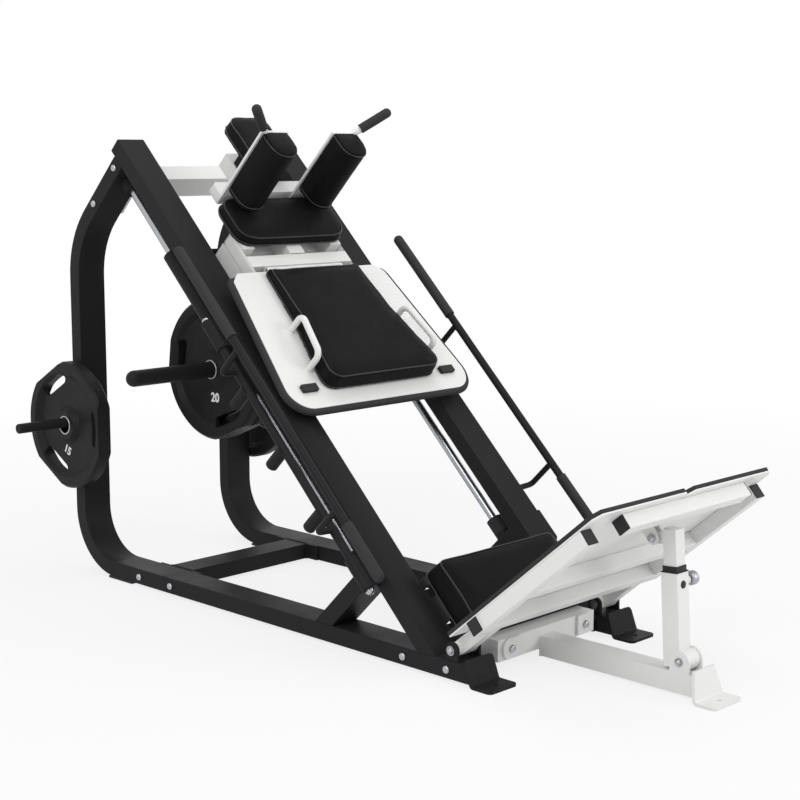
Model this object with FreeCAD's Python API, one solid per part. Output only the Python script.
"""Plate-loaded leg press and hack squat machine with a carriage on a 45 degree slope.

Frame: X forward, Y across, Z up, millimetres, origin on the floor below the middle of the outline.
Sizes along X are counted from the foot line, where the plane of the rails' top faces meets the floor.
Places on the slope are given as a station up the rails, a distance across, and a height off their top faces.
"""

import FreeCAD, Part
import math
import os

from FreeCAD import Rotation, Vector

# ---------------------------------------------------------------- fits
RUNNING = 0.07             # radial clearance of a turning or sliding fit
SIDE_PLAY = 0.5            # end play beside a turning sleeve
SOFT_GAP = 0.3             # a cushion to what it rests on
FULL_ROUND = 0.999         # share of a half-width that a round end is rounded by
GRIP_DOME = 0.95           # share of a grip's radius that its end is domed by

# ---------------------------------------------------------------- rails and side loops
RAIL_ANGLE = 45.0          # slope of the rails from the floor
RAIL_TOP = 2000.0          # station of the rails' upper ends
TRACK = 305.0              # middle of the machine to the middle of each rail
TUBE_WIDE = 100.0          # flat tube across
TUBE_THICK = 50.0          # flat tube through
TUBE_WALL = 3.0
LOOP_REAR = 1696.0         # foot line back to the loops' rear faces
LOOP_OVERHANG = 21.0       # rails' upper ends past the loops
LOOP_LOW_BEND = 205.0      # outer radius at the floor
LOOP_TOP_BEND = 300.0      # outer radius at the top
BRACE_STATION = 391.0      # middle of the braces
END_CAP = 3.0              # plastic cap on a tube's end
CAP_PLUG = 18.0            # how far a cap reaches into its tube

# ---------------------------------------------------------------- feet and floor tubes
FOOT_THICK = 8.0           # bent foot plates and rear rubber pads
FOOT_WIDTH = 110.0
FOOT_BEND = 70.5           # foot line forward to the bend of the front feet
FOOT_LEAN = 21.0           # backward lean of their upright flange
FOOT_LIP = 12.0            # upright flange above the floor tubes
FOOT_TIP = 138.0           # foot line to the front feet's tips
FOOT_BEND_RADIUS = 9.0
FOOT_CORNER = 14.0
FOOT_HOLE_INSET = 30.0
FOOT_HOLE_RADIUS = 6.0
REAR_PAD_FRONT = 1400.0
REAR_PAD_LENGTH = 125.0
REAR_TUBE_BACK = 1276.0    # foot line back to the rear floor tube's middle
FRONT_TUBE_BACK = 99.0     # foot line back to the front floor tube's middle
FLANGE_THICK = 8.0         # bolted end plates
FLANGE_EDGE = 22.0         # bolt centre to the end of its plate
BOLT_REACH = 80.0          # tube's middle to a flange bolt
BOLT_RADIUS = 11.0
BOLT_HEAD = 8.0
BOLT_DOME = 0.7            # share of the head that is domed
TOP_TUBE_ALONG = 58.0      # white top tube, along the slope
TOP_TUBE_DEEP = 80.0
TOP_TUBE_DROP = 139.0      # rails' top faces down to its middle
TOP_FLANGE_DROP = 157.0    # and to the middle of its bolts

# ---------------------------------------------------------------- guide rods
ROD_INSET = 7.0            # rails' middles in to the rods' axes
ROD_DROP = 115.0           # rails' top faces down to the rods' axes
ROD_RADIUS = 12.5
COLLAR_RADIUS = 25.0
UPPER_COLLAR = 40.0
LOWER_COLLAR = 22.0
BUFFER_LENGTH = 50.0

# ---------------------------------------------------------------- stop shafts and safety levers
SHAFT_OUT = 37.0           # rails' outer faces out to the shafts' axes
SHAFT_DROP = 45.0
SHAFT_RADIUS = 12.5
SHAFT_LOW = 340.0          # lower bearing's lower end
SHAFT_HIGH = 1290.0        # upper bearing's upper end
BEARING_LENGTH = 100.0
BEARING_RADIUS = 19.0
BEARING_WEB = 14.0
WASHER_RADIUS = 16.0
WASHER_THICK = 4.0
PEG_RADIUS = 18.5
PEG_ROUNDING = 0.2         # share of its radius that a peg's end is rounded by
PEG_LENGTH = 78.0          # shaft axis to the peg's end
PEG_TOP = 1040.0           # station of the uppermost peg
PEG_PITCH = 220.0
PEG_COUNT = 3
LEVER_ACROSS = 62.0        # shaft axis outward to the lever bar
LEVER_RISE = 117.0         # shaft axis up to the lever bar
LEVER_RADIUS = 12.0
LEVER_GRIP_RADIUS = 16.0
LEVER_TOP = 1486.0
LEVER_GRIP_TOP = 344.0     # length of the upper grip
LEVER_BOTTOM = 300.0
LEVER_GRIP_LOW = 185.0     # length of the lower grip
LINK_RADIUS = 9.0
LINK_BEND = 16.0
LINK_RISE = 6.0           # shaft axis up to the links' corners
LINK_HIGH = 1102.0
LINK_LOW = 538.0

# ---------------------------------------------------------------- weight plates and horns
STORED_RADIUS = 208.0
STORED_THICK = 48.0
STORED_FLAT = 186.0        # plate's centre to the flat beside each grip slot
STORED_TURN = 0.0          # first grip slot, turned down from straight forward
LOADED_RADIUS = 225.0
LOADED_THICK = 44.0
LOADED_FLAT = 211.0
LOADED_TURN = 67.4
LOADED_COUNT = 2           # plates on each side of the carriage
PLATE_WEB = 14.0           # thickness inside the rim
PLATE_CHAMFER = 8.0
PLATE_RIM = 34.0           # radial width of the rim
PLATE_HUB_RADIUS = 46.0
PLATE_BORE = 25.08
SLOT_INSET = 63.0          # plate's edge to the middle of a grip slot
SLOT_LENGTH = 128.0
SLOT_WIDTH = 34.0
SLOT_ROUNDING = 0.48       # share of its width that a slot's corners are rounded by
SLOT_COUNT = 3
HORN_FLANGE_RADIUS = 42.0
HORN_FLANGE = 6.0
STORAGE_HORN_RADIUS = 16.0
STORAGE_HORN_TIP = 585.0
STORAGE_HORN_HIGH = 503.0
STORAGE_DOME = 0.3         # share of the horn's radius that its tip is rounded by
CARRIAGE_HORN_RADIUS = 25.0
CARRIAGE_HORN_TIP = 485.0
CARRIAGE_DOME = 0.96
CARRIAGE_HORN_STATION = 1352.0
CARRIAGE_HORN_DROP = 366.0
CARRIAGE_PLATE_INNER = 77.0
SEAT_RELIEF = 0.1          # horns are this much thinner where a plate rests

# ---------------------------------------------------------------- carriage
CARRIAGE_HALF = 205.0      # middle to the side tubes' outer faces
SIDE_TUBE_WIDE = 50.0
SIDE_TUBE_LOW = 60.0       # side tubes' undersides below the rails' top faces
SIDE_TUBE_HIGH = 5.0       # and their top faces above
CARRIAGE_LOW = 960.0       # lower end of the side tubes
CARRIAGE_HIGH = 1553.0
HOUSING_RADIUS = 28.0
HOUSING_LOW = 1062.0
HOUSING_HIGH = 1620.0
CATCH_THICK = 12.0
CATCH_OUT = 350.0          # middle to the catch plate's outer end
CATCH_HALF = 18.0
OUTRIGGER = 10.0
OUTRIGGER_INSET = 40.0
HANGER_WIDE = 60.0
HANGER_BELOW = 30.0        # hanger past the horn bar
HORN_COLLAR_RADIUS = 45.0
HORN_COLLAR = 10.0
HINGE_STATION = 1396.0     # press plate's hinge axis
HINGE_HEIGHT = 50.0
KNUCKLE_RADIUS = 10.0
KNUCKLE_PIN = 5.0
KNUCKLE_GAP = 1.0
PLATE_KNUCKLE = 60.0       # length of one knuckle on the press plate
PLATE_KNUCKLE_AT = 90.0    # middle to its centre
HINGE_BOX_GAP = 12.0       # hinge axis to the hinge box
HINGE_BOX_TOP = 57.0
HINGE_BOX_ALONG = 42.0
REST_STATION = 990.0       # rubber rests under the press plate
REST_SIZE = 34.0
SPINE_WIDE = 60.0
SPINE_LOW = 8.0
SPINE_HIGH = 62.0
SPINE_TOP = 1880.0

# ---------------------------------------------------------------- press plate
PRESS_BOTTOM = 872.0
PRESS_TOP_GAP = 12.0       # hinge axis to the plate's upper edge
PRESS_TOP_HALF = 313.0
PRESS_LOW_HALF = 378.0
PRESS_STEEL = 5.0
PRESS_FACE = 60.0          # height of the white upper face
PRESS_CORNER = 72.0
PRESS_CHAMFER = 30.0
PRESS_MAT = 22.0
MAT_LIP = 4.0
BACK_PAD_BOTTOM = 920.0
BACK_PAD_TOP_GAP = 16.0
BACK_PAD_TOP_HALF = 188.0
BACK_PAD_KNEE = 1180.0     # station where its sides turn
BACK_PAD_KNEE_HALF = 198.0
BACK_PAD_LOW_HALF = 245.0
BACK_PAD_THIN = 35.0
BACK_PAD_THICK = 60.0
BACK_PAD_CORNER = 45.0
CARRY_HANDLE_RADIUS = 9.5
CARRY_HANDLE_TOP = 1155.0
CARRY_HANDLE_LOW = 1008.0
CARRY_HANDLE_RISE = 70.0
CARRY_HANDLE_BEND = 24.0
CARRY_HANDLE_GAP = 4.0
BUMPER_STATION = 940.0
BUMPER_SIZE = 24.0
BUMPER_HEIGHT = 12.0
BUMPER_LENGTH = 58.0
BUMPER_EDGE = 62.0

# ---------------------------------------------------------------- carriage pads
MID_PAD_LOW = 1476.0
MID_PAD_HIGH = 1660.0
MID_PAD_LOW_HALF = 224.0
MID_PAD_HIGH_HALF = 228.0
MID_PAD_THICK = 40.0
MID_PAD_CORNER = 60.0
SHOULDER_TRACK = 144.0
SHOULDER_WIDE = 104.0
SHOULDER_FRONT_ROUND = 0.9   # shares of their half-width that the shoulder pads are rounded by
SHOULDER_BACK_ROUND = 0.2
SHOULDER_DEEP = 100.0
SHOULDER_HEIGHT = 264.0
SHOULDER_BACK = 1662.0     # station of the shoulder pads' flat backs
BACKING_THICK = 8.0
BRACKET_ALONG = 46.0
GRIP_RADIUS = 15.0
GRIP_LENGTH = 111.0
GRIP_STUB = 22.0
GRIP_STUB_RADIUS = 11.0
GRIP_FOOT = 185.0          # middle to the foot of the hand grip
GRIP_SPLAY = 43.0          # lean outward from upright on the slope
HEAD_PAD_LOW = 1705.0
HEAD_PAD_HIGH = 1920.0
HEAD_PAD_HALF = 84.0
HEAD_PAD_BASE = 142.0
HEAD_PAD_THICK = 50.0
HEAD_PAD_CORNER = 45.0
HEAD_PLATE = 6.0
HEAD_POST = 50.0

# ---------------------------------------------------------------- seat
SEAT_LOW = 90.0
SEAT_HIGH = 318.0
SEAT_SIDE_GAP = 5.0        # seat's sides in from the rails' inner faces
SEAT_BOARD = 12.0
SEAT_THICK = 78.0
SEAT_CORNER = 22.0
SEAT_BOARD_INSET = 12.0
BEARER = 30.0
BEARER_INSET = 45.0

# ---------------------------------------------------------------- floor beam
TEE_STANDOFF = 20.0
TEE_TUBE = 60.0
TEE_LOW = 28.0
TEE_HALF = 205.0
CLAMP_TRACK = 160.0
CLAMP_WIDE = 66.0
CLAMP_CORNER = 26.0
BEAM_HALF = 31.0
BEAM_HIGH = 55.0
BEAM_FOOT_BEND = 556.0
BEAM_FOOT_TIP = 620.0
BEAM_FOOT_LEAN = 12.0
BEAM_FOOT_HALF = 62.0
BEAM_FOOT_TOP_HALF = 42.0
BEAM_FOOT_LIP = 18.0

# ---------------------------------------------------------------- footplate
HINGE_BACK = 6.0           # foot line back to the footplate's hinge axis
HINGE_RISE = 28.0          # floor tubes' tops up to it
EAR_RADIUS = 22.0
EAR_THICK = 8.0
EAR_SPACE = 76.0           # between the ears
SLEEVE_RADIUS = 19.0
HINGE_PIN = 8.0
PIN_HEAD = 5.0
PIN_HEAD_RADIUS = 13.0
FOOTPLATE_ANGLE = 40.0
FOOTPLATE_START = 52.0     # hinge axis up to the footplate's lower edge
FOOTPLATE_LENGTH = 615.0
FOOTPLATE_HALF = 388.0
FOOTPLATE_CHAMFER = 24.0
FOOTPLATE_NOTCH = 22.0     # half-width of the notch in the upper edge
FOOTPLATE_NOTCH_DEEP = 20.0
FOOTPLATE_STEEL = 5.0
FOOTPLATE_MAT = 11.0
FOOT_TUBE = 40.0
FOOT_TUBE_WALL = 2.5
LONG_TUBE_TRACK = 368.0
LOW_TUBE_AT = 154.0        # hinge axis up to the lower cross tube
MID_TUBE_AT = 336.0
HIGH_TUBE_AT = 622.0
LOW_TUBE_PAST = 4.0        # lower cross tube's ends past the plate's sides
HIGH_TUBE_HALF = 267.0
LONG_TUBE_END = 597.0
ARM_WIDE = 40.0
TOP_PIVOT_AT = 499.0       # hinge axis up to the post's top pivot
TOP_PIVOT_DROP = 14.0
BRACKET_THICK = 6.0
BRACKET_RADIUS = 18.0
BRACKET_ROUNDING = 0.95
BRACKET_SPACE = 18.0

# ---------------------------------------------------------------- telescopic post
POST_PIVOT_FORWARD = 487.0
POST_PIVOT_RISE = 29.0
POST_LEAN = 3.6
POST_OFFSET = 28.0         # pivot back to the post's axis
POST_TUBE = 50.0
POST_WALL = 4.0
POST_TOP = 226.0           # pivot up to the outer tube's top
POST_FLOOR_GAP = 10.0
POST_BOSS = 27.0
POST_EAR_RADIUS = 30.0
POST_EAR_THICK = 5.5
POST_PIN = 6.0
INNER_TUBE = 39.0
INNER_WALL = 3.0
INNER_LENGTH = 256.0
INNER_ABOVE_PIVOT = 28.0
COLLAR_LIP = 3.0
COLLAR_HIGH = 17.0
LUG_THICK = 14.0
LUG_RADIUS = 15.0
LUG_CLEARANCE = 3.0        # opened fit of the post's top pivot
POP_PIN_DROP = 31.0        # outer tube's top down to the pop pin
POP_PIN_RADIUS = 5.0
POP_BOSS_RADIUS = 11.0
POP_BOSS_LENGTH = 32.0
KNOB_RADIUS = 19.0
KNOB_LENGTH = 26.0
KNOB_ROUNDING = 0.4        # share of its radius that the knob's edges are rounded by
KNOB_GAP = 5.0
FRONT_HOLE = 8.0
HOLE_PITCH = 25.0
HOLE_COUNT = 7

# ---------------------------------------------------------------- worked-out sizes
RAIL_IN = TRACK - TUBE_WIDE / 2
RAIL_OUT = TRACK + TUBE_WIDE / 2
ROD_TRACK = TRACK - ROD_INSET
SHAFT_TRACK = RAIL_OUT + SHAFT_OUT
SEAT_HALF = RAIL_IN - SEAT_SIDE_GAP
LOW_TUBE_HALF = FOOTPLATE_HALF + LOW_TUBE_PAST
BASE_LOW = FOOT_THICK
BASE_TOP = BASE_LOW + TUBE_THICK
LOOP_TOP = RAIL_TOP - LOOP_OVERHANG
BRACE_TOP = BRACE_STATION + TUBE_THICK / 2
LOOP_FACE = LOOP_TOP - TUBE_THICK
STORAGE_HORN_BACK = LOOP_REAR - TUBE_THICK / 2
FOOT_LINE = (STORAGE_HORN_BACK + STORED_RADIUS - BEAM_FOOT_TIP) / 2
HINGE = Vector(-HINGE_BACK, 0, BASE_TOP + HINGE_RISE)
BEAM_TOP = BASE_LOW + BEAM_HIGH
POST_PIVOT = Vector(POST_PIVOT_FORWARD, 0, BEAM_TOP + POST_PIVOT_RISE)
TEE_REAR = -FRONT_TUBE_BACK + TUBE_WIDE / 2 + TEE_STANDOFF
TEE_FRONT = TEE_REAR + TEE_TUBE
SIDE_TUBE_IN = CARRIAGE_HALF - SIDE_TUBE_WIDE
HINGE_BOX_LOW = HINGE_STATION + HINGE_BOX_GAP
HINGE_BOX_HIGH = HINGE_BOX_LOW + HINGE_BOX_ALONG
MAT_FACE = PRESS_FACE - PRESS_STEEL - PRESS_MAT
PRESS_EDGE = HINGE_STATION - PRESS_TOP_GAP
STORAGE_PLATE_INNER = RAIL_OUT + HORN_FLANGE + SOFT_GAP
STORAGE_SEAT_END = STORAGE_PLATE_INNER + STORED_THICK + SOFT_GAP
CARRIAGE_SEAT_END = CARRIAGE_PLATE_INNER + LOADED_COUNT * (LOADED_THICK + SOFT_GAP)
SEAT_BASE = SEAT_BOARD + SOFT_GAP
FAR = 5000.0               # past everything, for trimming

# ---------------------------------------------------------------- views: two drawing axes and the way to extrude
X = Vector(1, 0, 0)
Y = Vector(0, 1, 0)
Z = Vector(0, 0, 1)
DOWN_SLOPE = X
UP_SLOPE = Vector(-1, 0, 0)
SIDE = (X, Z, Y)
PLAN = (X, Y, Z)
FRONT = (Y, Z, X)
SLOPE_SIDE = (UP_SLOPE, Z, Y)
SLOPE_PLAN = (UP_SLOPE, Y, Z)
SECTION = (Z, X, Y)


# ---------------------------------------------------------------- drawing helpers
def block(x, y, z):
    """Box from the two limits of each axis."""
    return Part.makeBox(x[1] - x[0], y[1] - y[0], z[1] - z[0], Vector(x[0], y[0], z[0]))


def about(middle, half):
    return middle - half, middle + half


def rounding(before, corner, after, radius):
    """Start, middle and end of the arc that rounds a corner."""
    if radius == 0:
        return corner, corner, corner
    back = (before - corner).normalize()
    ahead = (after - corner).normalize()
    half = back.getAngle(ahead) / 2
    reach = radius / math.tan(half)
    inward = (back + ahead).normalize()
    middle = corner + inward * (radius / math.sin(half) - radius)
    return corner + back * reach, middle, corner + ahead * reach


def outline(view, points, radii):
    """Closed wire through drawn points, each corner rounded by its radius."""
    if not isinstance(radii, list):
        radii = [radii] * len(points)
    corners = [view[0] * a + view[1] * b for a, b in points]
    after = corners[1:] + corners[:1]
    arcs = [rounding(corners[i - 1], corners[i], after[i], radii[i]) for i in range(len(corners))]
    edges = []
    for (start, middle, end), following in zip(arcs, arcs[1:] + arcs[:1]):
        if start != end:
            edges.append(Part.Arc(start, middle, end).toShape())
        edges.append(Part.makeLine(end, following[0]))
    return Part.Wire(edges)


def prism(view, points, radii, span):
    """Drawn outline extruded between two limits along the view's third axis."""
    face = Part.Face(outline(view, points, radii))
    face.translate(view[2] * span[0])
    return face.extrude(view[2] * (span[1] - span[0]))


def turned(points, radii, start, direction):
    """Solid of revolution: points give the distance along the axis and the radius."""
    solid = Part.Face(outline(SECTION, points, radii)).revolve(Vector(), Z, 360)
    solid.Placement = FreeCAD.Placement(start, Rotation(Z, direction))
    return solid


def rod(start, end, radius):
    return Part.makeCylinder(radius, (end - start).Length, start, end - start)


def round_ended(start, end, radius, dome):
    """Rod whose far end is domed."""
    length = (end - start).Length
    points = [(0, 0), (0, radius), (length, radius), (length, 0)]
    return turned(points, [0, 0, dome, 0], start, end - start)


def sleeve(start, end, radius, bore):
    return rod(start, end, radius).cut(rod(start, end, bore))


def square_tube(across, up, along, wall, axis):
    """Rectangular tube about the origin's axis; the two sections are limits, the axis is X, Y or Z."""
    inner_across = (across[0] + wall, across[1] - wall)
    inner_up = (up[0] + wall, up[1] - wall)
    if axis == X:
        return block(along, across, up).cut(block(along, inner_across, inner_up))
    if axis == Y:
        return block(across, along, up).cut(block(inner_across, along, inner_up))
    return block(across, up, along).cut(block(inner_across, inner_up, along))


def left_normal(start, end):
    length = math.dist(start, end)
    return (start[1] - end[1]) / length, (end[0] - start[0]) / length


def shifted(points, distance):
    """Corners of an open flat path moved to its left by a distance."""
    last = len(points) - 1
    moved = []
    for i, (a, b) in enumerate(points):
        before = left_normal(points[max(i - 1, 0)], points[max(i, 1)])
        after = left_normal(points[min(i, last - 1)], points[min(i + 1, last)])
        share = distance / (1 + before[0] * after[0] + before[1] * after[1])
        moved.append((a + (before[0] + after[0]) * share, b + (before[1] + after[1]) * share))
    return moved


def bend_sign(before, corner, after):
    """1 where an open path turns left at a corner, -1 where it turns right."""
    cross = (corner[0] - before[0]) * (after[1] - corner[1]) - (corner[1] - before[1]) * (after[0] - corner[0])
    return math.copysign(1, cross)


def strip(view, path, radii, thickness, span):
    """Flat bar bent along a path: path points and radii are those of its middle line."""
    half = thickness / 2
    signs = [bend_sign(*path[i:i + 3]) for i in range(len(path) - 2)]
    left = [0] + [radius - sign * half for radius, sign in zip(radii, signs)] + [0]
    right = [0] + [radius + sign * half for radius, sign in zip(radii, signs)] + [0]
    points = shifted(path, half) + shifted(path, -half)[::-1]
    return prism(view, points, left + right[::-1], span)


def bent_rod(points, bend, radius):
    """Round bar along straight runs joined by arcs."""
    edges = []
    start = points[0]
    for before, corner, after in zip(points, points[1:], points[2:]):
        first, middle, last = rounding(before, corner, after, bend)
        edges.append(Part.makeLine(start, first))
        edges.append(Part.Arc(first, middle, last).toShape())
        start = last
    edges.append(Part.makeLine(start, points[-1]))
    section = Part.Wire(Part.makeCircle(radius, points[0], points[1] - points[0]))
    return Part.Wire(edges).makePipeShell([section], True, True)


def mirrored(shape):
    return shape.mirror(Vector(), Y)


def pair(*shapes):
    """The shapes drawn on the +Y side, and their mirror images."""
    return [*shapes, *[mirrored(shape) for shape in shapes]]


def sided(shape, side):
    return shape if side == "right" else mirrored(shape)


def up(station, across, height):
    """Point on the slope before it is tipped up."""
    return Vector(-station, across, height)


def slope_block(stations, across, heights):
    return block((-stations[1], -stations[0]), across, heights)


def on_slope(*shapes):
    """Shapes drawn with the slope lying flat, tipped up to the rails' angle."""
    return [shape.rotated(Vector(), Y, RAIL_ANGLE) for shape in shapes]


def on_footplate(*shapes):
    """Shapes drawn from the footplate's hinge, X up the plate and Z off it."""
    return [shape.rotated(Vector(), Y, -FOOTPLATE_ANGLE).translated(HINGE) for shape in shapes]


def on_post(*shapes):
    """Shapes drawn from the post's lower pivot, Z along the post."""
    return [shape.rotated(Vector(), Y, -POST_LEAN).translated(POST_PIVOT) for shape in shapes]


def above_base(shape):
    """What stands on the floor tubes ends on their top faces."""
    return shape.cut(block((-FAR, FAR), (-FAR, FAR), (-FAR, BASE_TOP)))


def save(name, *solids):
    whole = Part.makeCompound(list(solids)) if len(solids) > 1 else solids[0]
    whole.translated(Vector(FOOT_LINE, 0, 0)).exportStep(f"parts/{name}.step")


# ---------------------------------------------------------------- frame
def slope_in_side_view(station, height):
    """Forward and up of a place on the slope."""
    place = up(station, 0, height)
    tipped = Rotation(Y, RAIL_ANGLE).multVec(place)
    return tipped.x, tipped.z


def loop_path():
    """Middle line of a side loop, from the front foot round to the rail."""
    half = TUBE_THICK / 2
    rear = half - LOOP_REAR
    middle = BASE_LOW + half
    station = LOOP_TOP - half
    slope = math.radians(RAIL_ANGLE)
    corner_height = (station + rear * math.cos(slope)) / math.sin(slope)
    return [(FOOT_BEND, middle), (rear, middle), (rear, corner_height), slope_in_side_view(station, -TUBE_THICK)]


def foot_path(bend, lean, top, tip):
    """Middle line of a bent foot plate, from its upper edge to its tip."""
    half = FOOT_THICK / 2
    back = (top - half) * math.tan(math.radians(lean))
    return [(bend - back, top), (bend, half), (tip, half)]


def ahead_of(path, tip):
    """Space in front of a foot plate's upright flange, which tubes are trimmed to."""
    rear = shifted(path, -FOOT_THICK / 2)
    return prism(SIDE, [rear[0], rear[1], (tip, 0), (tip, rear[0][1])], 0, (-FAR, FAR))


def rounded_tips(shape, thickness, radius):
    """Rounds the outer corners of a bent plate's two flanges."""
    short = [edge for edge in shape.Edges if abs(edge.Length - thickness) < 1e-6]
    return shape.makeFillet(radius, short)


def side_loop():
    half = TUBE_THICK / 2
    radii = [LOOP_LOW_BEND - half, LOOP_TOP_BEND - half]
    outer = strip(SIDE, loop_path(), radii, TUBE_THICK, (RAIL_IN, RAIL_OUT))
    inner = strip(SIDE, loop_path(), radii, TUBE_THICK - 2 * TUBE_WALL, (RAIL_IN + TUBE_WALL, RAIL_OUT - TUBE_WALL))
    front = foot_path(FOOT_BEND, FOOT_LEAN, BASE_TOP + FOOT_LIP, FOOT_TIP)
    return outer.cut(inner).cut(ahead_of(front, FOOT_TIP))


def rail():
    tube = square_tube((RAIL_IN, RAIL_OUT), (-TUBE_THICK, 0), (-RAIL_TOP, 0), TUBE_WALL, X)
    return above_base(on_slope(tube)[0])


def rail_end_cap():
    """Flush cap with a plug inside the tube."""
    face = slope_block((RAIL_TOP, RAIL_TOP + END_CAP), (RAIL_IN, RAIL_OUT), (-TUBE_THICK, 0))
    across = (RAIL_IN + TUBE_WALL, RAIL_OUT - TUBE_WALL)
    plug = slope_block((RAIL_TOP - CAP_PLUG, RAIL_TOP), across, (TUBE_WALL - TUBE_THICK, -TUBE_WALL))
    return on_slope(face.fuse(plug))[0]


def brace():
    """Upright under the rail, square to it, standing on the side loop."""
    stations = about(-BRACE_STATION, TUBE_THICK / 2)
    deep = BRACE_TOP * math.tan(math.radians(RAIL_ANGLE))
    tube = square_tube(stations, (RAIL_IN, RAIL_OUT), (-deep, -TUBE_THICK), TUBE_WALL, Z)
    return above_base(on_slope(tube)[0])


def floor_cross_tube(back):
    """Flat tube between the side loops with a bolted plate at each end."""
    inner = RAIL_IN - FLANGE_THICK
    forward = about(-back, TUBE_WIDE / 2)
    tube = square_tube(forward, (BASE_LOW, BASE_TOP), (-inner, inner), TUBE_WALL, Y)
    plate = block(about(-back, BOLT_REACH + FLANGE_EDGE), (inner, RAIL_IN), (BASE_LOW, BASE_TOP))
    return [tube, *pair(plate)]


def top_cross_tube():
    inner = RAIL_IN - FLANGE_THICK
    station = LOOP_TOP - TUBE_THICK / 2
    along = about(-station, TOP_TUBE_ALONG / 2)
    tube = square_tube(along, about(-TOP_TUBE_DROP, TOP_TUBE_DEEP / 2), (-inner, inner), TUBE_WALL, Y)
    stations = (station - TUBE_THICK / 2, station + TUBE_THICK / 2)
    heights = about(-TOP_FLANGE_DROP, BOLT_REACH + FLANGE_EDGE)
    plate = slope_block(stations, (inner, RAIL_IN), heights)
    return on_slope(tube, *pair(plate))


def bolt_head(start, direction):
    """Domed head seated on a face."""
    points = [(0, 0), (0, BOLT_RADIUS), (BOLT_HEAD, BOLT_RADIUS), (BOLT_HEAD, 0)]
    return turned(points, [0, 0, BOLT_HEAD * BOLT_DOME, 0], start, direction)


def frame_bolts():
    middle = BASE_LOW + TUBE_THICK / 2
    heads = []
    for back in (REAR_TUBE_BACK, FRONT_TUBE_BACK):
        for reach in (-BOLT_REACH, BOLT_REACH):
            heads.append(bolt_head(Vector(reach - back, RAIL_OUT, middle), Y))
    station = LOOP_TOP - TUBE_THICK / 2
    for reach in (-BOLT_REACH, BOLT_REACH):
        heads += on_slope(bolt_head(up(station, RAIL_OUT, reach - TOP_FLANGE_DROP), Y))
    clamp_face = TEE_FRONT + FLANGE_THICK
    heads.append(bolt_head(Vector(clamp_face, CLAMP_TRACK, TEE_LOW + TEE_TUBE / 2), X))
    return pair(*heads)


def guide_rod():
    return rod(up(BRACE_TOP, ROD_TRACK, -ROD_DROP), up(LOOP_FACE, ROD_TRACK, -ROD_DROP), ROD_RADIUS)


def rod_ring(low, high, radius):
    bore = ROD_RADIUS + RUNNING
    return sleeve(up(low, ROD_TRACK, -ROD_DROP), up(high, ROD_TRACK, -ROD_DROP), radius, bore)


def front_foot():
    path = foot_path(FOOT_BEND, FOOT_LEAN, BASE_TOP + FOOT_LIP, FOOT_TIP)
    plate = strip(SIDE, path, [FOOT_BEND_RADIUS], FOOT_THICK, about(TRACK, FOOT_WIDTH / 2))
    hole = rod(Vector(FOOT_TIP - FOOT_HOLE_INSET, TRACK, 0), Vector(FOOT_TIP - FOOT_HOLE_INSET, TRACK, FOOT_THICK),
               FOOT_HOLE_RADIUS)
    return rounded_tips(plate, FOOT_THICK, FOOT_CORNER).cut(hole)


def rear_foot_pad():
    return block((-REAR_PAD_FRONT - REAR_PAD_LENGTH, -REAR_PAD_FRONT), (RAIL_IN, RAIL_OUT), (0, BASE_LOW))


def rounded_ear(centre, radius, foot, across, bore):
    """Upright ear: round about its hole, with straight sides down to what it stands on."""
    low = foot - centre.z
    drawn = [(-radius, low), (radius, low), (radius, radius), (-radius, radius)]
    ear = prism(SIDE, drawn, [0, 0, radius * FULL_ROUND, radius * FULL_ROUND], across)
    hole = rod(Vector(0, across[0], 0), Vector(0, across[1], 0), bore)
    return ear.cut(hole).translated(centre)


def hinge_ears():
    inner = TRACK - EAR_SPACE / 2
    outer = TRACK + EAR_SPACE / 2
    spans = ((inner - EAR_THICK, inner), (outer, outer + EAR_THICK))
    return pair(*[rounded_ear(HINGE, EAR_RADIUS, BASE_TOP, span, HINGE_PIN + RUNNING) for span in spans])


def headed_pin(centre, across, radius):
    """Pin along Y with a head against each outer face."""
    low = Vector(centre.x, across[0] - PIN_HEAD, centre.z)
    high = Vector(centre.x, across[1] + PIN_HEAD, centre.z)
    head = radius + PIN_HEAD
    heads = rod(low, low + Y * PIN_HEAD, head).fuse(rod(high - Y * PIN_HEAD, high, head))
    return rod(low, high, radius).fuse(heads)


def hinge_pins():
    reach = EAR_SPACE / 2 + EAR_THICK
    post_reach = POST_TUBE / 2 + SIDE_PLAY + POST_EAR_THICK
    return [*pair(headed_pin(HINGE, about(TRACK, reach), HINGE_PIN)),
            headed_pin(POST_PIVOT, about(0, post_reach), POST_PIN)]


def shaft_bearing(low):
    """Sleeve on a web from the rail's outer face."""
    start = up(low, SHAFT_TRACK, -SHAFT_DROP)
    end = up(low + BEARING_LENGTH, SHAFT_TRACK, -SHAFT_DROP)
    heights = about(-SHAFT_DROP + BEARING_WEB / 2, BEARING_WEB / 2)
    web = slope_block((low, low + BEARING_LENGTH), (RAIL_OUT, SHAFT_TRACK), heights)
    return rod(start, end, BEARING_RADIUS).fuse(web).cut(rod(start, end, SHAFT_RADIUS + RUNNING))


def horn(axis, seat_end, tip, radius, dome):
    """Weight horn along Y: relieved where its plate rests, then full size to a rounded tip."""
    seat = rod(axis, axis + Y * seat_end, radius - SEAT_RELIEF)
    return seat.fuse(round_ended(axis + Y * seat_end, axis + Y * tip, radius, radius * dome))


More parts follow.
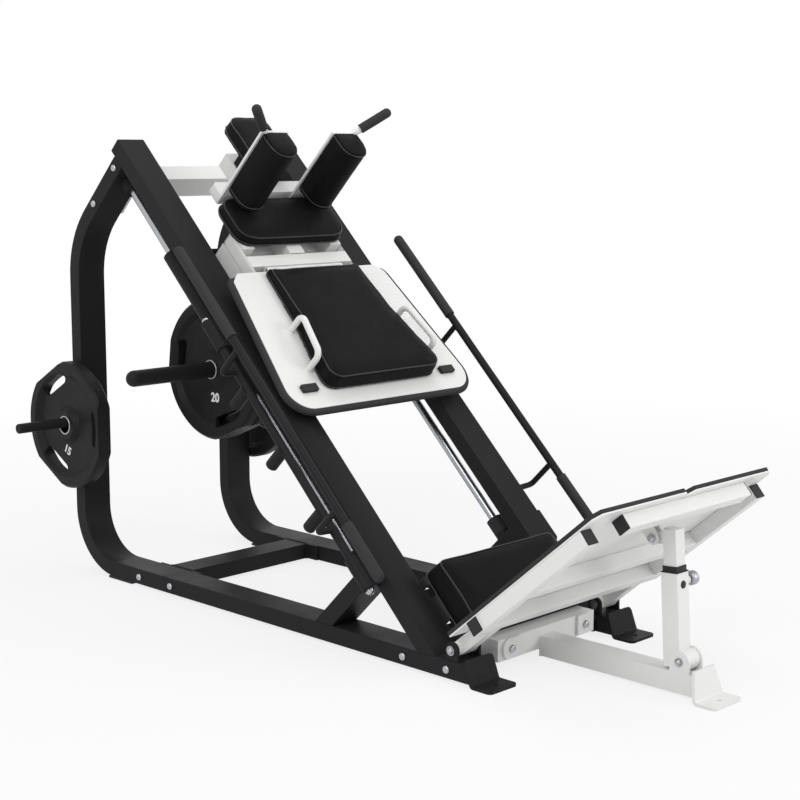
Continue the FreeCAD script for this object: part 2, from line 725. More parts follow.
def storage_horn():
    axis = Vector(-STORAGE_HORN_BACK, 0, STORAGE_HORN_HIGH)
    whole = horn(axis, STORAGE_SEAT_END, STORAGE_HORN_TIP, STORAGE_HORN_RADIUS, STORAGE_DOME)
    flange = rod(axis + Y * RAIL_OUT, axis + Y * (RAIL_OUT + HORN_FLANGE), HORN_FLANGE_RADIUS)
    return whole.fuse(flange).cut(block((-FAR, FAR), (-FAR, RAIL_OUT), (-FAR, FAR)))


def seat():
    """Pad, board and the two bearers between the rails."""
    plan = [(SEAT_LOW, -SEAT_HALF), (SEAT_HIGH, -SEAT_HALF), (SEAT_HIGH, SEAT_HALF), (SEAT_LOW, SEAT_HALF)]
    pad = prism(SLOPE_PLAN, plan, SEAT_CORNER, (SEAT_BASE, SEAT_BASE + SEAT_THICK))
    half = SEAT_HALF - SEAT_BOARD_INSET
    stations = (SEAT_LOW + SEAT_BOARD_INSET, SEAT_HIGH - SEAT_BOARD_INSET)
    board = slope_block(stations, (-half, half), (0, SEAT_BOARD))
    bearers = []
    for station in (stations[0] + BEARER_INSET, stations[1] - BEARER_INSET):
        along = about(-station, BEARER / 2)
        bearers.append(square_tube(along, (-BEARER, 0), (-RAIL_IN, RAIL_IN), TUBE_WALL, Y))
    return on_slope(pad), on_slope(board), on_slope(*bearers)


def beam_foot_path():
    return foot_path(BEAM_FOOT_BEND, BEAM_FOOT_LEAN, BEAM_TOP + BEAM_FOOT_LIP, BEAM_FOOT_TIP)


def floor_beam():
    """White tee: cross tube against the front floor tube, long tube forward to its own foot."""
    cross = square_tube((TEE_REAR, TEE_FRONT), (TEE_LOW, TEE_LOW + TEE_TUBE), (-TEE_HALF, TEE_HALF), TUBE_WALL, Y)
    cap = block((TEE_REAR, TEE_FRONT), (TEE_HALF, TEE_HALF + END_CAP), (TEE_LOW, TEE_LOW + TEE_TUBE))
    long_tube = square_tube((-BEAM_HALF, BEAM_HALF), (BASE_LOW, BEAM_TOP), (TEE_FRONT, BEAM_FOOT_BEND), TUBE_WALL, X)
    long_tube = long_tube.cut(ahead_of(beam_foot_path(), BEAM_FOOT_TIP))
    spacer = block((TEE_REAR - TEE_STANDOFF, TEE_REAR), about(CLAMP_TRACK, CLAMP_WIDE / 2), (TEE_LOW, BASE_TOP))
    low = TEE_LOW + TUBE_WALL
    across = about(CLAMP_TRACK, CLAMP_WIDE / 2)
    drawn = [(across[0], low), (across[1], low), (across[1], TEE_LOW + TEE_TUBE), (across[0], TEE_LOW + TEE_TUBE)]
    clamp = prism(FRONT, drawn, [0, CLAMP_CORNER, CLAMP_CORNER, 0], (TEE_FRONT, TEE_FRONT + FLANGE_THICK))
    return [cross, long_tube, *pair(cap, spacer, clamp)]


def floor_beam_foot():
    """Bent plate whose upright flange narrows upward."""
    path = beam_foot_path()
    span = (-BEAM_FOOT_HALF, BEAM_FOOT_HALF)
    plate = strip(SIDE, path, [FOOT_BEND_RADIUS], FOOT_THICK, span)
    plate = rounded_tips(plate, FOOT_THICK, FOOT_CORNER)
    top = path[0][1] + FOOT_THICK
    spare = [(BEAM_FOOT_TOP_HALF, top), (BEAM_FOOT_HALF, 2 * FOOT_THICK), (FAR, 2 * FOOT_THICK), (FAR, top)]
    wedge = prism(FRONT, spare, 0, (0, FAR))
    hole_at = Vector(BEAM_FOOT_TIP - FOOT_HOLE_INSET, 0, 0)
    hole = rod(hole_at, hole_at + Z * FOOT_THICK, FOOT_HOLE_RADIUS)
    return plate.cut(wedge).cut(mirrored(wedge)).cut(hole)


def post_ears():
    inner = POST_TUBE / 2 + SIDE_PLAY
    span = (inner, inner + POST_EAR_THICK)
    return pair(rounded_ear(POST_PIVOT, POST_EAR_RADIUS, BEAM_TOP, span, POST_PIN + RUNNING))


# ---------------------------------------------------------------- carriage
def cross_member(stations, heights):
    """Square tube between the carriage's side tubes."""
    along = (-stations[1], -stations[0])
    return square_tube(along, heights, (-SIDE_TUBE_IN, SIDE_TUBE_IN), TUBE_WALL, Y)


def knuckle_spans():
    """Where the frame's knuckles lie across: between and outside those of the press plate."""
    inner = PLATE_KNUCKLE_AT - PLATE_KNUCKLE / 2 - KNUCKLE_GAP
    outer = PLATE_KNUCKLE_AT + PLATE_KNUCKLE / 2 + KNUCKLE_GAP
    return [(-inner, inner), (outer, SIDE_TUBE_IN), (-SIDE_TUBE_IN, -outer)]


def knuckle(span, stations):
    """Bored knuckle on the hinge axis with a tab to the piece that carries it."""
    low = up(HINGE_STATION, span[0], HINGE_HEIGHT)
    high = up(HINGE_STATION, span[1], HINGE_HEIGHT)
    tab = slope_block(stations, span, (HINGE_HEIGHT + KNUCKLE_RADIUS - PRESS_STEEL, HINGE_HEIGHT + KNUCKLE_RADIUS))
    if stations[0] == HINGE_STATION:
        tab = slope_block(stations, span, (HINGE_HEIGHT - KNUCKLE_RADIUS, HINGE_HEIGHT))
    return rod(low, high, KNUCKLE_RADIUS).fuse(tab).cut(rod(low, high, KNUCKLE_PIN + RUNNING))


def carriage_frame():
    """Side tubes, cross members, hinge box and the spine that carries the pads."""
    side = square_tube((SIDE_TUBE_IN, CARRIAGE_HALF), (-SIDE_TUBE_LOW, SIDE_TUBE_HIGH),
                       (-CARRIAGE_HIGH, -CARRIAGE_LOW), TUBE_WALL, X)
    heights = (-SIDE_TUBE_LOW, SIDE_TUBE_HIGH)
    low = cross_member((HOUSING_LOW, HOUSING_LOW + SIDE_TUBE_WIDE), heights)
    high = cross_member((CARRIAGE_HIGH - SIDE_TUBE_WIDE, CARRIAGE_HIGH), heights)
    along = (-HINGE_BOX_HIGH, -HINGE_BOX_LOW)
    box = square_tube(along, (SIDE_TUBE_HIGH, HINGE_BOX_TOP), (-CARRIAGE_HALF, CARRIAGE_HALF), TUBE_WALL, Y)
    spine = square_tube((-SPINE_WIDE / 2, SPINE_WIDE / 2), (SPINE_LOW, SPINE_HIGH), (-SPINE_TOP, -HINGE_BOX_HIGH),
                        TUBE_WALL, X)
    riser = slope_block((MID_PAD_LOW, CARRIAGE_HIGH), (SIDE_TUBE_IN + TUBE_WALL, CARRIAGE_HALF - TUBE_WALL),
                        (SIDE_TUBE_HIGH, SPINE_HIGH))
    saddle = slope_block((CARRIAGE_HIGH - SIDE_TUBE_WIDE, CARRIAGE_HIGH), (-SPINE_WIDE / 2, SPINE_WIDE / 2),
                         (SIDE_TUBE_HIGH, SPINE_LOW))
    knuckles = [knuckle(span, (HINGE_STATION, HINGE_BOX_LOW)) for span in knuckle_spans()]
    return on_slope(*pair(side, riser), low, high, box, spine, saddle, *knuckles)


def carriage_outriggers():
    """Plates under the rails from the side tubes out to the bearing housings."""
    plates = []
    bore = rod(up(HOUSING_LOW, ROD_TRACK, -ROD_DROP), up(HOUSING_HIGH, ROD_TRACK, -ROD_DROP), HOUSING_RADIUS)
    low = -ROD_DROP - HOUSING_RADIUS
    top = -SIDE_TUBE_LOW
    drawn = [(SIDE_TUBE_IN, top), (SIDE_TUBE_IN, low / 2 + top / 2), (ROD_TRACK, low), (ROD_TRACK, top)]
    middle = (HOUSING_LOW + HOUSING_HIGH) / 2
    first = HOUSING_LOW + OUTRIGGER_INSET
    last = HOUSING_HIGH - OUTRIGGER_INSET
    for station in (first, (first + middle) / 2, (middle + last) / 2, last):
        plate = prism(FRONT, drawn, 0, (-station - OUTRIGGER, -station))
        plates.append(plate.cut(bore))
    return on_slope(*pair(*plates))


def bearing_housing():
    """Long tube with a bearing at each end, and the catch plate that lands on the pegs."""
    low = up(HOUSING_LOW, ROD_TRACK, -ROD_DROP)
    tube = rod(low, up(HOUSING_HIGH, ROD_TRACK, -ROD_DROP), HOUSING_RADIUS)
    heights = about(-ROD_DROP, CATCH_HALF)
    catch = slope_block((HOUSING_LOW, HOUSING_LOW + CATCH_THICK), (ROD_TRACK, CATCH_OUT), heights)
    bore = rod(low, up(HOUSING_HIGH, ROD_TRACK, -ROD_DROP), ROD_RADIUS + RUNNING)
    return tube.fuse(catch).cut(bore)


def horn_hanger():
    """Cross bar under the carriage and the post that drops to the horn bar."""
    stations = about(CARRIAGE_HORN_STATION, HANGER_WIDE / 2)
    top = -SIDE_TUBE_LOW
    along = (-stations[1], -stations[0])
    bar = square_tube(along, (top - HANGER_WIDE, top), (-CARRIAGE_HALF, CARRIAGE_HALF), TUBE_WALL, Y)
    half = HANGER_WIDE / 2
    heights = (-CARRIAGE_HORN_DROP - HANGER_BELOW - CARRIAGE_HORN_RADIUS, top - HANGER_WIDE)
    post = square_tube(along, (-half, half), heights, TUBE_WALL, Z)
    hole = rod(up(CARRIAGE_HORN_STATION, -half, -CARRIAGE_HORN_DROP),
               up(CARRIAGE_HORN_STATION, half, -CARRIAGE_HORN_DROP), CARRIAGE_HORN_RADIUS - SEAT_RELIEF)
    return on_slope(bar, post.cut(hole))


def carriage_horn_bar():
    """Through bar with a domed horn and a collar on each side."""
    middle = up(CARRIAGE_HORN_STATION, 0, -CARRIAGE_HORN_DROP)
    right = horn(middle, CARRIAGE_SEAT_END, CARRIAGE_HORN_TIP, CARRIAGE_HORN_RADIUS, CARRIAGE_DOME)
    collar_end = CARRIAGE_PLATE_INNER - SOFT_GAP
    collar = rod(middle + Y * (collar_end - HORN_COLLAR), middle + Y * collar_end, HORN_COLLAR_RADIUS)
    half = right.fuse(collar)
    return on_slope(half.fuse(mirrored(half)).removeSplitter())


def plate_hinge_pin():
    low = up(HINGE_STATION, -SIDE_TUBE_IN, HINGE_HEIGHT)
    return on_slope(rod(low, up(HINGE_STATION, SIDE_TUBE_IN, HINGE_HEIGHT), KNUCKLE_PIN))


def plate_rests():
    heights = (SIDE_TUBE_HIGH, MAT_FACE - SOFT_GAP)
    across = about(CARRIAGE_HALF - SIDE_TUBE_WIDE / 2, REST_SIZE / 2)
    return on_slope(*pair(slope_block(about(REST_STATION, REST_SIZE / 2), across, heights)))


def mid_pad():
    base = SPINE_HIGH + SOFT_GAP
    plan = [(MID_PAD_LOW, -MID_PAD_LOW_HALF), (MID_PAD_HIGH, -MID_PAD_HIGH_HALF),
            (MID_PAD_HIGH, MID_PAD_HIGH_HALF), (MID_PAD_LOW, MID_PAD_LOW_HALF)]
    return on_slope(prism(SLOPE_PLAN, plan, MID_PAD_CORNER, (base, base + MID_PAD_THICK)))


def shoulder_base():
    return SPINE_HIGH + SOFT_GAP + MID_PAD_THICK + SOFT_GAP


def shoulder_pads():
    """Upright D-shaped rollers, flat against their backing plates."""
    half = SHOULDER_WIDE / 2
    front = SHOULDER_BACK - SHOULDER_DEEP
    back = SHOULDER_BACK - SOFT_GAP
    across = about(SHOULDER_TRACK, half)
    plan = [(front, across[0]), (back, across[0]), (back, across[1]), (front, across[1])]
    front_round = half * SHOULDER_FRONT_ROUND
    back_round = half * SHOULDER_BACK_ROUND
    radii = [front_round, back_round, back_round, front_round]
    base = shoulder_base()
    return on_slope(*pair(prism(SLOPE_PLAN, plan, radii, (base, base + SHOULDER_HEIGHT))))


def shoulder_brackets():
    """Bracket tube on the spine, with a backing plate and a grip stub for each shoulder."""
    bracket_low = SHOULDER_BACK + BACKING_THICK
    along = (-bracket_low - BRACKET_ALONG, -bracket_low)
    reach = SHOULDER_TRACK + SHOULDER_WIDE / 2
    bar = square_tube(along, (SPINE_HIGH, shoulder_base()), (-reach, reach), TUBE_WALL, Y)
    top = shoulder_base() + SHOULDER_HEIGHT
    plate = slope_block((SHOULDER_BACK, bracket_low), about(SHOULDER_TRACK, SHOULDER_WIDE / 2), (SPINE_HIGH, top))
    foot, direction = grip_axis()
    stub = rod(foot - direction * GRIP_STUB, foot + direction * GRIP_STUB, GRIP_STUB_RADIUS)
    stub = stub.cut(slope_block((0, FAR), (-FAR, FAR), (-FAR, top)))
    return on_slope(bar, *pair(plate.fuse(stub)))


def grip_axis():
    """Foot of a hand grip on its backing plate's upper edge, and its direction."""
    splay = math.radians(GRIP_SPLAY)
    foot = up(SHOULDER_BACK + BACKING_THICK / 2, GRIP_FOOT, shoulder_base() + SHOULDER_HEIGHT)
    return foot, Vector(0, math.sin(splay), math.cos(splay))


def hand_grips():
    foot, direction = grip_axis()
    start = foot + direction * GRIP_STUB
    return on_slope(*pair(round_ended(start, start + direction * GRIP_LENGTH, GRIP_RADIUS, GRIP_RADIUS * GRIP_DOME)))


def head_pad():
    plan = [(HEAD_PAD_LOW, -HEAD_PAD_HALF), (HEAD_PAD_HIGH, -HEAD_PAD_HALF),
            (HEAD_PAD_HIGH, HEAD_PAD_HALF), (HEAD_PAD_LOW, HEAD_PAD_HALF)]
    base = HEAD_PAD_BASE + SOFT_GAP
    return on_slope(prism(SLOPE_PLAN, plan, HEAD_PAD_CORNER, (base, base + HEAD_PAD_THICK)))


def head_pad_bracket():
    middle = (HEAD_PAD_LOW + HEAD_PAD_HIGH) / 2
    under = HEAD_PAD_BASE - HEAD_PLATE
    post = slope_block(about(middle, HEAD_POST / 2), about(0, HEAD_POST / 2), (SPINE_HIGH, under))
    plate = slope_block(about(middle, HEAD_POST), about(0, HEAD_POST), (under, HEAD_PAD_BASE))
    return on_slope(post, plate)


# ---------------------------------------------------------------- press plate
def press_plan(lip):
    """Outline of the press plate, or of its mat with a lip all round."""
    low = PRESS_BOTTOM - lip
    return [(PRESS_EDGE - PRESS_CHAMFER, -PRESS_TOP_HALF - lip), (PRESS_EDGE, PRESS_CHAMFER - PRESS_TOP_HALF - lip),
            (PRESS_EDGE, PRESS_TOP_HALF - PRESS_CHAMFER + lip), (PRESS_EDGE - PRESS_CHAMFER, PRESS_TOP_HALF + lip),
            (low, PRESS_LOW_HALF + lip), (low, -PRESS_LOW_HALF - lip)]


def press_plate():
    radii = [0, 0, 0, 0, PRESS_CORNER, PRESS_CORNER]
    plate = prism(SLOPE_PLAN, press_plan(0), radii, (PRESS_FACE - PRESS_STEEL, PRESS_FACE))
    for side in (-1, 1):
        span = about(side * PLATE_KNUCKLE_AT, PLATE_KNUCKLE / 2)
        plate = plate.fuse(knuckle(span, (PRESS_EDGE, HINGE_STATION - KNUCKLE_PIN)))
    return on_slope(plate.removeSplitter())


def press_mat():
    """Rubber mat under the plate, cut back from the hinge."""
    radii = [0, 0, 0, 0, PRESS_CORNER + MAT_LIP, PRESS_CORNER + MAT_LIP]
    mat = prism(SLOPE_PLAN, press_plan(MAT_LIP), radii, (MAT_FACE, MAT_FACE + PRESS_MAT))
    hinge_room = slope_block((PRESS_EDGE - KNUCKLE_RADIUS, FAR), (-FAR, FAR), (-FAR, FAR))
    return on_slope(mat.cut(hinge_room))


def back_pad():
    """Wedge: thin at the hinge, thick at the lower edge."""
    high = HINGE_STATION - BACK_PAD_TOP_GAP
    base = PRESS_FACE + SOFT_GAP
    plan = [(BACK_PAD_BOTTOM, -BACK_PAD_LOW_HALF), (BACK_PAD_KNEE, -BACK_PAD_KNEE_HALF), (high, -BACK_PAD_TOP_HALF),
            (high, BACK_PAD_TOP_HALF), (BACK_PAD_KNEE, BACK_PAD_KNEE_HALF), (BACK_PAD_BOTTOM, BACK_PAD_LOW_HALF)]
    radii = [BACK_PAD_CORNER, 0, 0, 0, 0, BACK_PAD_CORNER]
    slab = prism(SLOPE_PLAN, plan, radii, (base, base + BACK_PAD_THICK))
    side = [(BACK_PAD_BOTTOM, base), (high, base), (high, base + BACK_PAD_THIN),
            (BACK_PAD_BOTTOM, base + BACK_PAD_THICK)]
    return on_slope(slab.common(prism(SLOPE_SIDE, side, 0, (-FAR, FAR))))


def back_pad_half(station):
    """Half-width of the back pad at a station below its knee."""
    share = (station - BACK_PAD_BOTTOM) / (BACK_PAD_KNEE - BACK_PAD_BOTTOM)
    return BACK_PAD_LOW_HALF + (BACK_PAD_KNEE_HALF - BACK_PAD_LOW_HALF) * share


def carry_handles():
    """D handles beside the back pad."""
    out = CARRY_HANDLE_RADIUS + CARRY_HANDLE_GAP
    upper = back_pad_half(CARRY_HANDLE_TOP) + out
    lower = back_pad_half(CARRY_HANDLE_LOW) + out
    top = PRESS_FACE + CARRY_HANDLE_RISE
    points = [up(CARRY_HANDLE_TOP, upper, PRESS_FACE), up(CARRY_HANDLE_TOP, upper, top),
              up(CARRY_HANDLE_LOW, lower, top), up(CARRY_HANDLE_LOW, lower, PRESS_FACE)]
    return on_slope(*pair(bent_rod(points, CARRY_HANDLE_BEND, CARRY_HANDLE_RADIUS)))


def plate_bumpers():
    outer = PRESS_LOW_HALF - BUMPER_EDGE
    stations = about(BUMPER_STATION, BUMPER_SIZE / 2)
    heights = (PRESS_FACE, PRESS_FACE + BUMPER_HEIGHT)
    return on_slope(*pair(slope_block(stations, (outer - BUMPER_LENGTH, outer), heights)))


# ---------------------------------------------------------------- safety levers
def lever():
    """Stop shaft with its pegs, and the long bar that turns it."""
    shaft_low = SHAFT_LOW - SOFT_GAP - WASHER_THICK
    shaft_high = SHAFT_HIGH + SOFT_GAP + WASHER_THICK
    start = up(shaft_low, SHAFT_TRACK, -SHAFT_DROP)
    end = up(shaft_high, SHAFT_TRACK, -SHAFT_DROP)
    solid = rod(start, end, SHAFT_RADIUS)
    solid = solid.fuse(rod(start, start + UP_SLOPE * WASHER_THICK, WASHER_RADIUS))
    solid = solid.fuse(rod(end, end + DOWN_SLOPE * WASHER_THICK, WASHER_RADIUS))
    for index in range(PEG_COUNT):
        station = PEG_TOP - index * PEG_PITCH
        middle = up(station, SHAFT_TRACK, -SHAFT_DROP)
        solid = solid.fuse(round_ended(middle, middle - Z * PEG_LENGTH, PEG_RADIUS, PEG_RADIUS * PEG_ROUNDING))
    bar_across = SHAFT_TRACK + LEVER_ACROSS
    bar_height = LEVER_RISE - SHAFT_DROP
    for station in (LINK_HIGH, LINK_LOW):
        link = [up(station, SHAFT_TRACK, -SHAFT_DROP), up(station, bar_across, LINK_RISE - SHAFT_DROP),
                up(station, bar_across, bar_height)]
        solid = solid.fuse(bent_rod(link, LINK_BEND, LINK_RADIUS))
    low = LEVER_BOTTOM + LEVER_GRIP_LOW
    high = LEVER_TOP - LEVER_GRIP_TOP
    bar = rod(up(low, bar_across, bar_height), up(high, bar_across, bar_height), LEVER_RADIUS)
    return on_slope(solid.fuse(bar))


def lever_grips():
    across = SHAFT_TRACK + LEVER_ACROSS
    height = LEVER_RISE - SHAFT_DROP
    upper = up(LEVER_TOP - LEVER_GRIP_TOP, across, height)
    lower = up(LEVER_BOTTOM + LEVER_GRIP_LOW, across, height)
    dome = LEVER_GRIP_RADIUS * GRIP_DOME
    return on_slope(round_ended(upper, upper + UP_SLOPE * LEVER_GRIP_TOP, LEVER_GRIP_RADIUS, dome),
                    round_ended(lower, lower + DOWN_SLOPE * LEVER_GRIP_LOW, LEVER_GRIP_RADIUS, dome))


# ---------------------------------------------------------------- footplate
def footplate_plan():
    low = FOOTPLATE_START
    high = FOOTPLATE_START + FOOTPLATE_LENGTH
    wide = FOOTPLATE_HALF
    chamfer = FOOTPLATE_CHAMFER
    return [(low, -wide), (high - chamfer, -wide), (high, chamfer - wide), (high, -FOOTPLATE_NOTCH),
            (high - FOOTPLATE_NOTCH_DEEP, 0), (high, FOOTPLATE_NOTCH), (high, wide - chamfer),
            (high - chamfer, wide), (low, wide)]


def footplate_sheet(low, thickness):
    return on_footplate(prism(PLAN, footplate_plan(), 0, (low, low + thickness)))


def footplate_tubes():
    """Two long tubes between a low and a high cross tube, and one across the middle."""
    half = FOOT_TUBE / 2
    heights = (-half, half)
    low_edge = LOW_TUBE_AT + half
    inner = LONG_TUBE_TRACK - half
    long_tube = square_tube(about(LONG_TUBE_TRACK, half), heights, (low_edge, LONG_TUBE_END), FOOT_TUBE_WALL, X)
    low = square_tube(about(LOW_TUBE_AT, half), heights, (-LOW_TUBE_HALF, LOW_TUBE_HALF), FOOT_TUBE_WALL, Y)
    middle = square_tube(about(MID_TUBE_AT, half), heights, (-inner, inner), FOOT_TUBE_WALL, Y)
    high = square_tube(about(HIGH_TUBE_AT, half), heights, (-HIGH_TUBE_HALF, HIGH_TUBE_HALF), FOOT_TUBE_WALL, Y)
    return on_footplate(*pair(long_tube), low, middle, high)


def footplate_caps():
    half = FOOT_TUBE / 2
    heights = (-half, half)
    long_cap = block((LONG_TUBE_END, LONG_TUBE_END + END_CAP), about(LONG_TUBE_TRACK, half), heights)
    low_cap = block(about(LOW_TUBE_AT, half), (LOW_TUBE_HALF, LOW_TUBE_HALF + END_CAP), heights)
    high_cap = block(about(HIGH_TUBE_AT, half), (HIGH_TUBE_HALF, HIGH_TUBE_HALF + END_CAP), heights)
    return on_footplate(*pair(long_cap, low_cap, high_cap))


def footplate_arms():
    """Arms down to the hinge sleeves, and the two cheeks of the post's top pivot."""
    half = FOOT_TUBE / 2
    reach = EAR_SPACE / 2 - SIDE_PLAY
    start = Vector(0, TRACK - reach, 0)
    end = Vector(0, TRACK + reach, 0)
    arm = block((0, LOW_TUBE_AT - half), about(TRACK, ARM_WIDE / 2), about(0, SLEEVE_RADIUS))
    arm = arm.fuse(rod(start, end, SLEEVE_RADIUS)).cut(rod(start, end, HINGE_PIN + RUNNING))
    centre = Vector(TOP_PIVOT_AT, 0, -TOP_PIVOT_DROP)
    inner = BRACKET_SPACE / 2
    cheek_reach = FOOT_TUBE / 2 + TOP_PIVOT_DROP
    drawn = [(-BRACKET_RADIUS, cheek_reach), (-BRACKET_RADIUS, -BRACKET_RADIUS),
             (BRACKET_RADIUS, -BRACKET_RADIUS), (BRACKET_RADIUS, cheek_reach)]
    corner = BRACKET_RADIUS * BRACKET_ROUNDING
    cheek = prism(SIDE, drawn, [0, corner, corner, 0], (inner, inner + BRACKET_THICK)).translated(centre)
    pin = headed_pin(centre, about(0, inner + BRACKET_THICK), POST_PIN)
    cheeks = cheek.fuse(mirrored(cheek)).fuse(pin)
    return on_footplate(*pair(arm), cheeks)


# ---------------------------------------------------------------- telescopic post
def top_pivot_on_post():
    """The post's top pivot as seen from its lower pivot, before the post leans."""
    place = Rotation(Y, -FOOTPLATE_ANGLE).multVec(Vector(TOP_PIVOT_AT, 0, -TOP_PIVOT_DROP)) + HINGE
    return Rotation(Y, POST_LEAN).multVec(place - POST_PIVOT)


def post_outer():
    """Square tube with a boss for its pivot, a boss for the pop pin and a hole in front."""
    half = POST_TUBE / 2
    low = POST_FLOOR_GAP - POST_PIVOT_RISE
    tube = square_tube(about(-POST_OFFSET, half), (-half, half), (low, POST_TOP), POST_WALL, Z)
    boss = rod(Vector(0, -half, 0), Vector(0, half, 0), POST_BOSS)
    pin_height = POST_TOP - POP_PIN_DROP
    axis = Vector(-POST_OFFSET, 0, pin_height)
    pin_boss = rod(axis + Y * half, axis + Y * (half + POP_BOSS_LENGTH), POP_BOSS_RADIUS)
    solid = tube.fuse(boss).fuse(pin_boss)
    solid = solid.cut(rod(Vector(0, -half, 0), Vector(0, half, 0), POST_PIN + RUNNING))
    solid = solid.cut(rod(axis, axis + Y * (half + POP_BOSS_LENGTH), POP_PIN_RADIUS + RUNNING))
    front = Vector(0, 0, pin_height)
    return on_post(solid.cut(rod(axis, front + X * half, FRONT_HOLE)))


def post_collar():
    """Plastic bush on top of the outer tube, in which the inner tube slides."""
    half = POST_TUBE / 2 + COLLAR_LIP / 2
    bore = INNER_TUBE / 2 + SOFT_GAP
    lip = block(about(-POST_OFFSET, half), (-half, half), (POST_TOP, POST_TOP + COLLAR_LIP))
    neck_half = INNER_TUBE / 2 + COLLAR_LIP
    neck = block(about(-POST_OFFSET, neck_half), (-neck_half, neck_half), (POST_TOP, POST_TOP + COLLAR_HIGH))
    hole = block(about(-POST_OFFSET, bore), (-bore, bore), (POST_TOP, POST_TOP + COLLAR_HIGH))
    return on_post(lip.fuse(neck).cut(hole))


def post_inner():
    """Inner tube with its row of holes, and the lug of the top pivot."""
    pivot = top_pivot_on_post()
    half = INNER_TUBE / 2
    top = pivot.z + INNER_ABOVE_PIVOT
    low = top - INNER_LENGTH
    tube = square_tube(about(-POST_OFFSET, half), (-half, half), (low, top), INNER_WALL, Z)
    lug_half = LUG_THICK / 2
    across = (-lug_half, lug_half)
    lug = block((pivot.x, -POST_OFFSET - half), across, about(pivot.z, LUG_RADIUS))
    lug = lug.fuse(rod(Vector(pivot.x, -lug_half, pivot.z), Vector(pivot.x, lug_half, pivot.z), LUG_RADIUS))
    solid = tube.fuse(lug)
    hole = POST_PIN + LUG_CLEARANCE
    solid = solid.cut(rod(Vector(pivot.x, -lug_half, pivot.z), Vector(pivot.x, lug_half, pivot.z), hole))
    pin_height = POST_TOP - POP_PIN_DROP
    for index in range(HOLE_COUNT):
        height = pin_height + (index - HOLE_COUNT // 2) * HOLE_PITCH
        start = Vector(-POST_OFFSET, 0, height)
        solid = solid.cut(rod(start, start + Y * half, POP_PIN_RADIUS + RUNNING))
    return on_post(solid)


def pop_pin():
    """Spring pin and knob; its nose stops just short of the inner tube."""
    axis = Vector(-POST_OFFSET, 0, POST_TOP - POP_PIN_DROP)
    nose = INNER_TUBE / 2 + SOFT_GAP
    knob_start = POST_TUBE / 2 + POP_BOSS_LENGTH + KNOB_GAP
    pin = rod(axis + Y * nose, axis + Y * knob_start, POP_PIN_RADIUS)
    points = [(0, 0), (0, KNOB_RADIUS), (KNOB_LENGTH, KNOB_RADIUS), (KNOB_LENGTH, 0)]
    rounding_radius = KNOB_RADIUS * KNOB_ROUNDING
    knob = turned(points, [0, rounding_radius, rounding_radius, 0], axis + Y * knob_start, Y)
    return on_post(pin.fuse(knob))


# ---------------------------------------------------------------- weight plates
def weight_plate(radius, thick, flat, turn):
    """Dished plate with three grip slots and a flat beside each, drawn from the middle of its inner face."""
    slant = (thick - PLATE_WEB) / 2
    inside = radius - PLATE_RIM
    hub = PLATE_HUB_RADIUS
    edge = radius - PLATE_CHAMFER
    drawn = [(0, PLATE_BORE), (0, hub), (slant, hub + slant), (slant, inside - slant), (0, inside), (0, edge),
             (PLATE_CHAMFER, radius), (thick - PLATE_CHAMFER, radius), (thick, edge), (thick, inside),
             (thick - slant, inside - slant), (thick - slant, hub + slant), (thick, hub), (thick, PLATE_BORE)]
    disc = turned(drawn, 0, Vector(), Y)
    inner, outer = about(radius - SLOT_INSET, SLOT_WIDTH / 2)
    low, high = about(0, SLOT_LENGTH / 2)
    slot = [(inner, low), (outer, low), (outer, high), (inner, high)]
    cutter = prism(SIDE, slot, SLOT_WIDTH * SLOT_ROUNDING, (0, thick))
    beyond = block((flat, FAR), (-FAR, FAR), (-FAR, FAR))
    for index in range(SLOT_COUNT):
        angle = turn + 360 / SLOT_COUNT * index
        disc = disc.cut(cutter.rotated(Vector(), Y, angle)).cut(beyond.rotated(Vector(), Y, angle))
    return disc


def save_weight_plates(side):
    sag = PLATE_BORE - STORAGE_HORN_RADIUS - SOFT_GAP
    place = Vector(-STORAGE_HORN_BACK, STORAGE_PLATE_INNER, STORAGE_HORN_HIGH - sag)
    stored = weight_plate(STORED_RADIUS, STORED_THICK, STORED_FLAT, STORED_TURN).translated(place)
    save(f"storage_plate_{side}", sided(stored, side))
    forward, height = slope_in_side_view(CARRIAGE_HORN_STATION, -CARRIAGE_HORN_DROP)
    plate = weight_plate(LOADED_RADIUS, LOADED_THICK, LOADED_FLAT, LOADED_TURN)
    stack = []
    for index in range(LOADED_COUNT):
        across = CARRIAGE_PLATE_INNER + index * (LOADED_THICK + SOFT_GAP)
        stack.append(sided(plate.translated(Vector(forward, across, height)), side))
    save(f"carriage_plate_{side}", *stack)


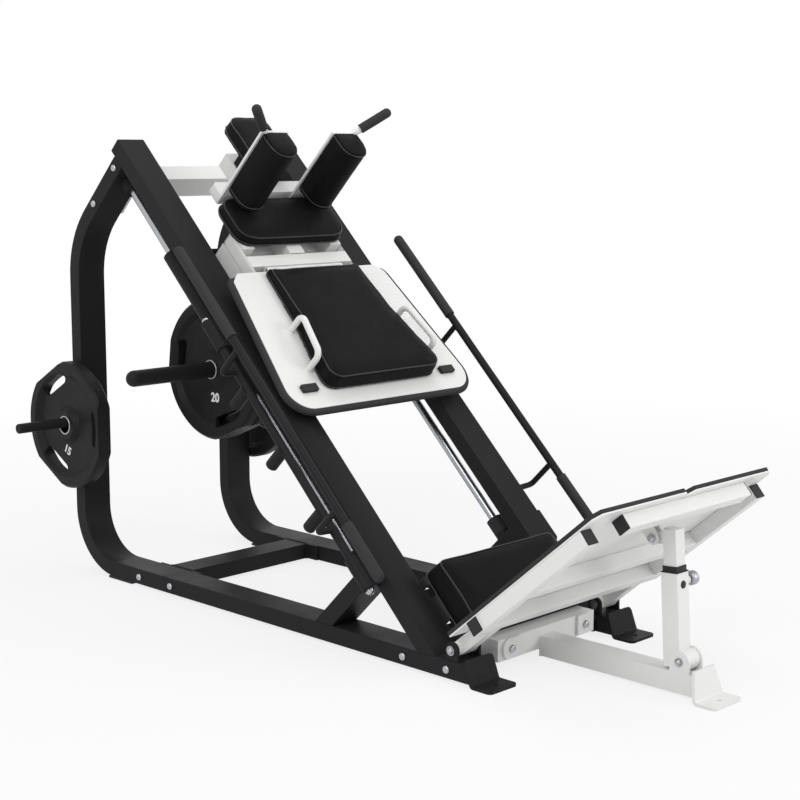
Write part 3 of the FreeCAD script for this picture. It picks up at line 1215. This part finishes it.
# ---------------------------------------------------------------- all parts
def save_frame():
    for side in ("left", "right"):
        save(f"side_loop_{side}", sided(side_loop(), side))
        save(f"rail_{side}", sided(rail(), side))
    save("rail_braces", *pair(brace()))
    save("rail_end_caps", *pair(rail_end_cap()))
    save("top_cross_tube", *top_cross_tube())
    save("rear_cross_tube", *floor_cross_tube(REAR_TUBE_BACK))
    save("front_cross_tube", *floor_cross_tube(FRONT_TUBE_BACK))
    save("guide_rods", *on_slope(*pair(guide_rod())))
    collars = (rod_ring(BRACE_TOP, BRACE_TOP + LOWER_COLLAR, COLLAR_RADIUS),
               rod_ring(LOOP_FACE - UPPER_COLLAR, LOOP_FACE, COLLAR_RADIUS))
    save("rod_collars", *on_slope(*pair(*collars)))
    buffer_low = BRACE_TOP + LOWER_COLLAR
    save("rod_buffers", *on_slope(*pair(rod_ring(buffer_low, buffer_low + BUFFER_LENGTH, COLLAR_RADIUS))))
    save("front_feet", *pair(front_foot()))
    save("rear_foot_pads", *pair(rear_foot_pad()))
    save("hinge_ears", *hinge_ears())
    save("hinge_pins", *hinge_pins())
    bearings = (shaft_bearing(SHAFT_LOW), shaft_bearing(SHAFT_HIGH - BEARING_LENGTH))
    save("stop_shaft_bearings", *on_slope(*pair(*bearings)))
    save("storage_horns", *pair(storage_horn()))
    save("floor_beam", *floor_beam())
    save("floor_beam_foot", floor_beam_foot())
    save("post_ears", *post_ears())
    pad, board, bearers = seat()
    save("seat_pad", *pad)
    save("seat_board", *board)
    save("seat_bearers", *bearers)
    save("frame_bolts", *frame_bolts())


def save_carriage():
    save("carriage_frame", *carriage_frame())
    save("carriage_outriggers", *carriage_outriggers())
    save("bearing_housings", *on_slope(*pair(bearing_housing())))
    save("horn_hanger", *horn_hanger())
    save("carriage_horn_bar", *carriage_horn_bar())
    save("plate_hinge_pin", *plate_hinge_pin())
    save("plate_rests", *plate_rests())
    save("mid_pad", *mid_pad())
    save("shoulder_pads", *shoulder_pads())
    save("shoulder_brackets", *shoulder_brackets())
    save("hand_grips", *hand_grips())
    save("head_pad", *head_pad())
    save("head_pad_bracket", *head_pad_bracket())


def save_moving_parts():
    save("press_plate", *press_plate())
    save("press_mat", *press_mat())
    save("back_pad", *back_pad())
    save("carry_handles", *carry_handles())
    save("plate_bumpers", *plate_bumpers())
    for side in ("left", "right"):
        save(f"safety_lever_{side}", *[sided(solid, side) for solid in lever()])
        save(f"lever_grips_{side}", *[sided(solid, side) for solid in lever_grips()])
        save_weight_plates(side)
    sheet_low = FOOT_TUBE / 2
    save("footplate", *footplate_sheet(sheet_low, FOOTPLATE_STEEL))
    save("footplate_mat", *footplate_sheet(sheet_low + FOOTPLATE_STEEL, FOOTPLATE_MAT))
    save("footplate_tubes", *footplate_tubes())
    save("footplate_caps", *footplate_caps())
    save("footplate_arms", *footplate_arms())
    save("post_outer", *post_outer())
    save("post_collar", *post_collar())
    save("post_inner", *post_inner())
    save("pop_pin", *pop_pin())


def main():
    os.makedirs("parts", exist_ok=True)
    save_frame()
    save_carriage()
    save_moving_parts()


main()
